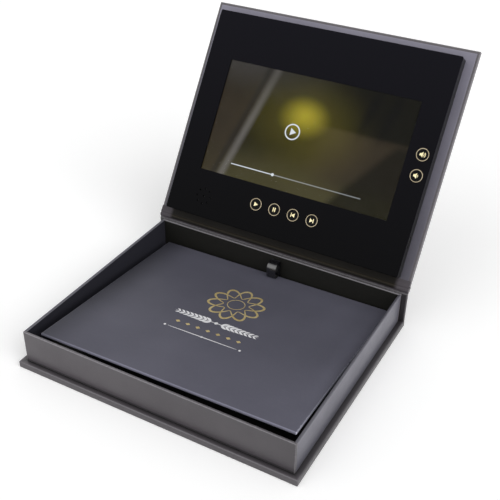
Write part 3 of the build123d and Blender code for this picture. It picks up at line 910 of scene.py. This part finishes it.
def sprig(look):
    # leaves in fours along a thin stem, and a bud in its middle
    shares = [(i + 0.35) / look["leaves"] for i in range(look["leaves"])]
    leaves = [leaf(look, share, side, up) for share in shares for side in (-1, 1) for up in (-1, 1)]
    stem = taper(look, look["sprigLength"] / 2, look["stem"], 0.9)
    return [stem] + leaves + [lozenge(look, 0, *look["bud"])]


def studRow(look):
    start = -(look["studs"] - 1) / 2 * look["studPitch"]
    spots = [start + i * look["studPitch"] for i in range(look["studs"])]
    return [lozenge(look, x, look["stud"] / 2, look["stud"] * 0.8) for x in spots]


def ruleLine(look):
    # a long taper with three round dots, one on it and one beyond each end
    half, dot = look["ruleLength"] / 2, look["dot"]
    width = 2 * dot * np.sqrt(1 - np.linspace(-1, 1, 9)**2)
    spots = (-half - look["dotGap"], 0, half + look["dotGap"])
    dots = [stroke(level(x - dot, x + dot, 9), width, look["height"]) for x in spots]
    return [taper(look, half, look["rule"], 0.92)] + dots


panelTop = boxIn(panel, "lift_out_panel")[1][2]
prints = {
    "foilRosette": (rosette(ornament), ornament["middle"][1], metal["goldFoil"], "gold_foil"),
    "whiteSprig": (sprig(ornament), ornament["sprigAt"], gloss["whitePrint"], "white_print"),
    "foilStuds": (studRow(ornament), ornament["studAt"], metal["goldFoil"], "gold_foil"),
    "whiteRule": (ruleLine(ornament), ornament["ruleAt"], gloss["whitePrint"], "white_print"),
}
for name, (strokes, down, material, slotName) in prints.items():
    centre = np.array((ornament["middle"][0] * mm, down * mm, panelTop))
    piece = makePiece(name, placed(panel, centre, drawDown(strokes)), material)
    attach(piece, "panel")
print("panel ornament:", len(prints), "pieces")


# the ribbon pull: a narrow band folded into a loop behind the panel

ribbon = {   # mm
    "width": 10.0, "waist": 7.4,    # where it is glued, and where it stands free
    "narrowing": (10.5, 14.5),      # the heights between which it narrows
    "thickness": 0.34,
    "crown": 0.35, "crownFrom": 16.0, "crownOver": 8.0, "crownBack": 81.6, "crownFade": 2.0,
    # behind and above: up the back strip, forward over the panel's edge, up and round a first bend,
    # a higher crest by the wall, and down again behind
    "line": [(80.0, 6.5), (80.0, 9.5), (79.95, 12.0), (79.3, 13.9), (77.2, 14.15), (74.6, 14.4),
             (73.5, 15.5), (73.4, 18.4), (73.3, 21.4), (73.9, 23.6), (75.3, 25.1), (77.0, 25.65),
             (79.0, 25.9), (80.6, 26.1), (81.45, 26.3), (81.95, 25.3), (82.0, 21.5), (81.95, 16.5),
             (81.5, 13.2), (81.0, 11.0)],
    # the satin's second, paler colour is a painted sheen
    "look": {"Thread": grey(0.0015, 0.0015, 0.002), "PaintedSheen": grey(0.004, 0.004, 0.007), "Rib": 2400.0,
             "grain": 0.05, "Specular IOR Level": 1.0, "IOR": 1.6},
}


def ribbonShape(spec, middle):
    # a smooth line through the points, given the ribbon's thickness and carried across, narrowing as it
    # rises; its middle crowns forward by one less the square of the distance across
    path = smoothPath(spec["line"], 145)
    stations = np.linspace(-1, 1, 17)
    loops = bandLoops(path, spec["thickness"], stations)
    widths = np.interp(path[:, 1], spec["narrowing"], (spec["width"], spec["waist"]))
    loops[..., 0] *= np.concatenate((widths, widths[::-1])) / 2
    free = np.clip((loops[..., 2] - spec["crownFrom"]) / spec["crownOver"], 0, 1)
    free = free * np.clip((spec["crownBack"] - loops[..., 1]) / spec["crownFade"], 0, 1)
    loops[..., 1] -= spec["crown"] * free * (1 - stations[:, None]**2)
    loops[..., 0] += middle
    steps = np.linalg.norm(np.diff(path, axis=0), axis=1)
    return loops * mm, steps.sum() * mm, (steps * (widths[1:] + widths[:-1]) / 2).sum() * mm**2


low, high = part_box("pull_ribbon")
loops, ribbonLength, ribbonArea = ribbonShape(ribbon, (low[0] + high[0]) / 2 / mm)
satin = grainSurface("blackSatin", ribbon["look"], "satinWeave")
ribbonLoop = makePiece("ribbonLoop", shellFrom(loops), satin)
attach(ribbonLoop, "folder")
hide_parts("pull_ribbon")
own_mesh(ribbonLoop)
print("ribbon: %.1f mm of line" % (ribbonLength / mm))


# the paper joint at the back: one strip from the spine, out round the fold, and up the lid's outer face

joint = {   # mm and degrees
    "halfWidth": 106.4, "thickness": 0.16, "clear": 0.02,
    "onSpine": (-7.0, -3.4), "onLid": (0.4, 9.0), "radii": (2.3, 3.36), "angles": (-82.0, 14.0),
}


def hingeArc(spec, count):
    # an arc about the hinge line, whose radius changes steadily
    angle = np.radians(np.linspace(*spec["angles"], count))
    radius = np.linspace(*spec["radii"], count)
    return np.stack((radius * np.cos(angle), radius * np.sin(angle)), -1)


def jointPath(spec):
    # behind and above the hinge line: a straight run, a widening arc about the hinge, and a straight run
    hinge = lid[0]
    away = spec["thickness"] / 2 + spec["clear"]
    back = (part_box("spine_board")[1][1] - hinge[1]) / mm + away
    low = np.stack((np.full(9, back), np.linspace(*spec["onSpine"], 9)), -1)
    corner = boxIn(lid, "lid_board")[0]
    start = toWorld(lid, (0, corner[1], corner[2] - away * mm))[1:] - hinge[1:]
    run = start / mm + np.linspace(*spec["onLid"], 15)[:, None] * lid[1][1][1:]
    return np.concatenate((low, hingeArc(spec, 25), run)) + hinge[1:] / mm


jointLine = smoothPath(jointPath(joint)[::2], 161)
stations = np.linspace(-1, 1, 33) * joint["halfWidth"]
loops = bandLoops(jointLine, joint["thickness"], stations)
jointStrip = makePiece("jointStrip", shellFrom(loops * mm), paperSurface("wrap_joint", paperLooks["wrap"]))
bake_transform(jointStrip)


# the paper joint inside: up round the front of the fold and on to the lid, under the black block

innerJoint = {   # mm and degrees
    "halfWidth": 106.45, "thickness": 0.12, "angles": (216.0, 112.0), "radii": (2.02, 2.12),
    # up the lid, and out of its face
    "lidRun": [(2.2, 2.05), (3.4, 1.95), (4.7, 1.82), (5.8, 1.8), (6.85, 1.8)],
    "look": {**wrapLook, "Gloss": 0.5, "grain": 0.3, "Specular IOR Level": 0.14},
    # the dark olive colour is painted shade, where the black block shades the strip
    "shade": {"Base": grey(0.0065, 0.005, 0.003), "Fleck": grey(0.015, 0.012, 0.008)}, "paintedShadeHalf": 98.5,
    # up the strip, where its line runs from 0 to 1
    "paintedShadeFrom": (0.12, 0.26), "ridgeAt": 0.6, "ridgeWidth": 0.16,
    "ridge": grey(0.062, 0.052, 0.036), "ridgeAmount": 0.5,
}


def innerPath(spec):
    # behind and above the hinge line: an arc round the fold, then a run on the lid's own axes
    run = np.array(spec["lidRun"]) @ lid[1][1:, 1:]
    return np.concatenate((hingeArc(spec, 21)[::2], run)) + lid[0][1:] / mm


def innerPaper(name, spec):
    # the wrap's grey at the foot and at both ends, and between them a painted shade of dark olive under the
    # black block, with a paler ridge across it
    look = spec["look"]
    material, tree, shader = newSurface(name, look)
    colour, rough, height = useGroup(tree, "paperFibre", look)
    shade = useGroup(tree, "paperFibre", {**look, **spec["shade"]})["Color"]
    rise = addNode(tree, "ShaderNodeAttribute", attribute_name="rise").outputs["Fac"]
    across = addNode(tree, "ShaderNodeAttribute", attribute_name="across").outputs["Fac"]
    ridge = times(tree, softLine(tree, rise, spec["ridgeAt"], spec["ridgeWidth"]), spec["ridgeAmount"])
    shade = mixColour(tree, ridge, shade, spec["ridge"])
    # where the painted shade covers the strip: within the block's width and past the first part of its rise
    paintedShadeCover = times(tree, spread(tree, across, 1.0, 0.96), spread(tree, rise, *spec["paintedShadeFrom"]))
    normal = bumpNode(tree, height, look["grain"], 0.0002)
    finishSurface(tree, shader, mixColour(tree, paintedShadeCover, colour, shade), rough, normal)
    return material


innerLine = smoothPath(innerPath(innerJoint), 121)
stations = np.linspace(-1, 1, 65) * innerJoint["halfWidth"]
loops = bandLoops(innerLine, innerJoint["thickness"], stations)
innerStrip = makePiece("innerJointStrip", shellFrom(loops * mm), innerPaper("innerJointPaper", innerJoint))
rise = np.linspace(0, 1, len(innerLine))
markPoints(innerStrip, "rise", np.tile(np.concatenate((rise, rise[::-1])), len(stations)))
markPoints(innerStrip, "across", np.repeat(np.abs(stations) / innerJoint["paintedShadeHalf"], loops.shape[1]))
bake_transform(innerStrip)
print("paper joints: outside and inside")


# floor, lamps and the pale surroundings

studio = {
    "floorSize": 6.0,
    "floorSeen": grey(0.95), "floorBounce": grey(0.42),   # what the camera sees, and what it throws back up
    "floorLift": 0.2,
    "ambient": 0.55,
    "lamps": {   # where the light comes from, its strength, and how wide it looks in degrees
        "keyLamp": ((0.75, -0.25, 0.62), 1.25, 45.0),
        "fillLamp": ((-0.45, -0.65, 0.61), 0.5, 60.0),
    },
}


def seenDirectly(tree):
    path = addNode(tree, "ShaderNodeLightPath").outputs
    seen = larger(tree, path["Is Camera Ray"], path["Is Glossy Ray"])
    return larger(tree, seen, path["Is Transmission Ray"])


def makeFloor(spec):
    half = spec["floorSize"] / 2
    corners = [(-half, -half, 0), (half, -half, 0), (half, half, 0), (-half, half, 0)]
    mesh = bpy.data.meshes.new("studioFloor")
    mesh.from_pydata(corners, [], [(0, 1, 2, 3)])
    floor = bpy.data.objects.new("studioFloor", mesh)
    bpy.context.scene.collection.objects.link(floor)
    material, tree, shader = newSurface("floorPaper", {"Roughness": 0.9, "Specular IOR Level": 0.0})
    seen = seenDirectly(tree)
    tree.links.new(mixColour(tree, seen, spec["floorBounce"], spec["floorSeen"]), shader.inputs["Base Color"])
    lift = times(tree, seen, spec["floorLift"])
    glow = addNode(tree, "ShaderNodeEmission", {"Color": grey(1.0), "Strength": lift}).outputs[0]
    both = addNode(tree, "ShaderNodeAddShader", {0: shader.outputs[0], 1: glow}).outputs[0]
    tree.links.new(both, tree.nodes["Material Output"].inputs[0])
    mesh.materials.append(material)


def makeWorld(spec):
    sky = bpy.data.worlds.new("studioWorld")
    sky.use_nodes = True
    tree = sky.node_tree
    strength = spread(tree, seenDirectly(tree), 0.0, 1.0, spec["ambient"], 1.0, "LINEAR")
    tree.links.new(strength, tree.nodes["Background"].inputs["Strength"])
    tree.nodes["Background"].inputs["Color"].default_value = grey(1.0)
    bpy.context.scene.world = sky


def makeLamps(spec):
    for name, (source, strength, width) in spec["lamps"].items():
        data = bpy.data.lights.new(name, "SUN")
        data.energy = strength
        data.angle = math.radians(width)
        lamp = bpy.data.objects.new(name, data)
        lamp.location = source
        lamp.rotation_euler = Vector(source).to_track_quat("Z", "Y").to_euler()
        bpy.context.scene.collection.objects.link(lamp)


makeFloor(studio)
makeWorld(studio)
makeLamps(studio)
bpy.context.scene.view_settings.view_transform = "Standard"
print("studio: floor and", len(studio["lamps"]), "lamps")
